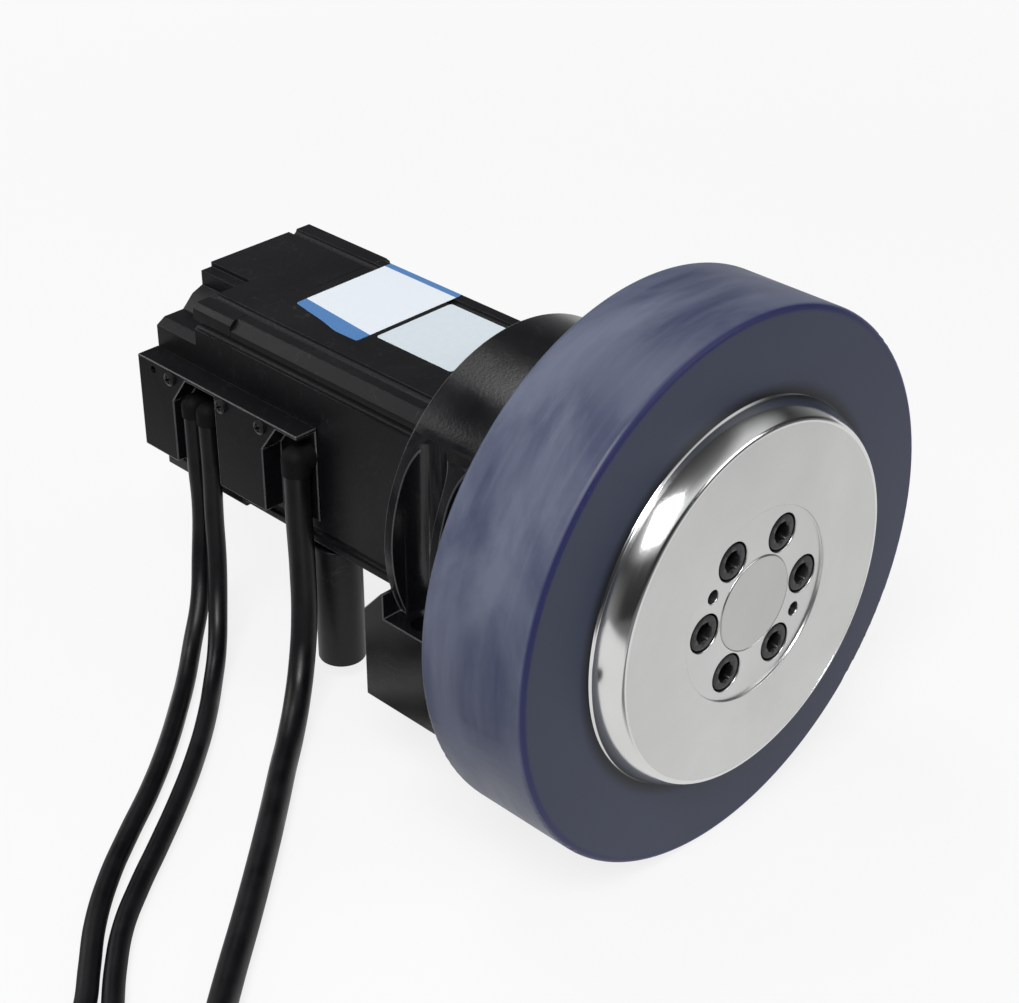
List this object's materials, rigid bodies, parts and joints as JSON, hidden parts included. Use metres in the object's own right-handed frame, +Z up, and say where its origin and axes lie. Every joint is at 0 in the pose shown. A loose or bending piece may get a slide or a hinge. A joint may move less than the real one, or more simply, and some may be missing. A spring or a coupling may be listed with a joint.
{
  "type": "vehicle drive wheel unit",
  "caption": "Drive wheel unit for a guided vehicle: solid tyre on a bolted hub, turned through a planetary gear by a square servo motor with cables, on a bolt-down foot.",
  "frame": {"origin": "middle of the four mounting holes, on the foot's mounting face", "axes": "+Z up from the mounting face, +Y along the axle from the wheel towards the motor, -X the side with the cable box"},
  "size_m": [0.397, 0.2659, 0.2],
  "materials": {
    "tyre_blue": "matt, cast polyurethane",
    "polished_hub": "turned face, polished edge",
    "machined_steel": "ground",
    "gear_steel": "cut",
    "black_screw": "blackened",
    "plated_screw": "plated",
    "black_paint": "satin black paint",
    "black_plastic": "satin",
    "black_rubber": "matt",
    "core_iron": "stacked sheet",
    "magnet": "plated",
    "copper": "varnished wire",
    "shield_alloy": "cast",
    "friction": "friction lining",
    "encoder_glass": "clear",
    "board_green": "solder mask",
    "cable_jacket": "satin jacket",
    "plug_plastic": "moulded"
  },
  "bodies": {
    "frame": {"bearing_nose": "black_paint", "nose_screws": "black_screw", "output_seal": "black_rubber", "main_bearing_outer": "machined_steel", "gear_housing": "black_paint", "ring_gear": "gear_steel", "motor_flange": "black_paint", "flange_screws": "plated_screw", "front_bearing": "machined_steel", "motor_case": "black_paint", "stator_core": "core_iron", "windings": "copper", "rear_shield": "shield_alloy", "rear_bearing": "machined_steel", "brake_coil": "core_iron", "rear_cover": "black_paint", "cover_screws": "black_screw", "encoder_board": "board_green", "cable_box": "black_plastic", "box_screws": "black_screw", "cable_grommets": "black_rubber", "power_cable": "cable_jacket", "power_plug": "plug_plastic", "encoder_cable": "cable_jacket", "encoder_plug": "plug_plastic", "brake_cable": "cable_jacket", "brake_plug": "plug_plastic", "rest_posts": "black_paint"},
    "wheel": {"tyre": "tyre_blue", "wheel_hub": "polished_hub", "hub_screws": "black_screw", "output_flange": "machined_steel", "output_carrier": "gear_steel", "carrier_pins": "machined_steel", "main_bearing_inner": "machined_steel"},
    "balls": {"main_bearing_balls": "machined_steel"},
    "stage1": {"stage1_carrier": "gear_steel", "stage1_pins": "machined_steel", "sun2_gear": "gear_steel"},
    "rotor": {"motor_shaft": "machined_steel", "sun1_gear": "gear_steel", "rotor_core": "core_iron", "rotor_magnets": "magnet", "brake_disc": "friction", "encoder_disc": "encoder_glass"},
    "planet2_a": {"planet2_a": "gear_steel"},
    "planet2_b": {"planet2_b": "gear_steel"},
    "planet2_c": {"planet2_c": "gear_steel"},
    "planet1_a": {"planet1_a": "gear_steel"},
    "planet1_b": {"planet1_b": "gear_steel"},
    "planet1_c": {"planet1_c": "gear_steel"}
  },
  "joints": [
    {"name": "wheel_spin", "type": "hinge", "parent": "frame", "child": "wheel", "pos_m": [0, 0, 0.0635], "axis": [0, 1, 0], "continuous": true},
    {"name": "balls_spin", "type": "hinge", "parent": "frame", "child": "balls", "pos_m": [0, 0, 0.0635], "axis": [0, 1, 0], "continuous": true},
    {"name": "stage1_spin", "type": "hinge", "parent": "frame", "child": "stage1", "pos_m": [0, 0, 0.0635], "axis": [0, 1, 0], "continuous": true},
    {"name": "rotor_spin", "type": "hinge", "parent": "frame", "child": "rotor", "pos_m": [0, 0, 0.0635], "axis": [0, 1, 0], "continuous": true},
    {"name": "planet2_a_spin", "type": "hinge", "parent": "wheel", "child": "planet2_a", "pos_m": [0.02475, 0, 0.0635], "axis": [0, 1, 0], "continuous": true},
    {"name": "planet2_b_spin", "type": "hinge", "parent": "wheel", "child": "planet2_b", "pos_m": [-0.01238, 0, 0.04207], "axis": [0, 1, 0], "continuous": true},
    {"name": "planet2_c_spin", "type": "hinge", "parent": "wheel", "child": "planet2_c", "pos_m": [-0.01238, 0, 0.08493], "axis": [0, 1, 0], "continuous": true},
    {"name": "planet1_a_spin", "type": "hinge", "parent": "stage1", "child": "planet1_a", "pos_m": [0.02475, 0, 0.0635], "axis": [0, 1, 0], "continuous": true},
    {"name": "planet1_b_spin", "type": "hinge", "parent": "stage1", "child": "planet1_b", "pos_m": [-0.01238, 0, 0.04207], "axis": [0, 1, 0], "continuous": true},
    {"name": "planet1_c_spin", "type": "hinge", "parent": "stage1", "child": "planet1_c", "pos_m": [-0.01238, 0, 0.08493], "axis": [0, 1, 0], "continuous": true}
  ],
  "couplings": [
    {"joint": "balls_spin", "follows": "wheel_spin", "ratio": 0.431},
    {"joint": "stage1_spin", "follows": "wheel_spin", "ratio": 5},
    {"joint": "rotor_spin", "follows": "wheel_spin", "ratio": 25},
    {"joint": "planet2_a_spin", "follows": "wheel_spin", "ratio": -2.6667},
    {"joint": "planet2_b_spin", "follows": "wheel_spin", "ratio": -2.6667},
    {"joint": "planet2_c_spin", "follows": "wheel_spin", "ratio": -2.6667},
    {"joint": "planet1_a_spin", "follows": "wheel_spin", "ratio": -13.333},
    {"joint": "planet1_b_spin", "follows": "wheel_spin", "ratio": -13.333},
    {"joint": "planet1_c_spin", "follows": "wheel_spin", "ratio": -13.333}
  ]
}
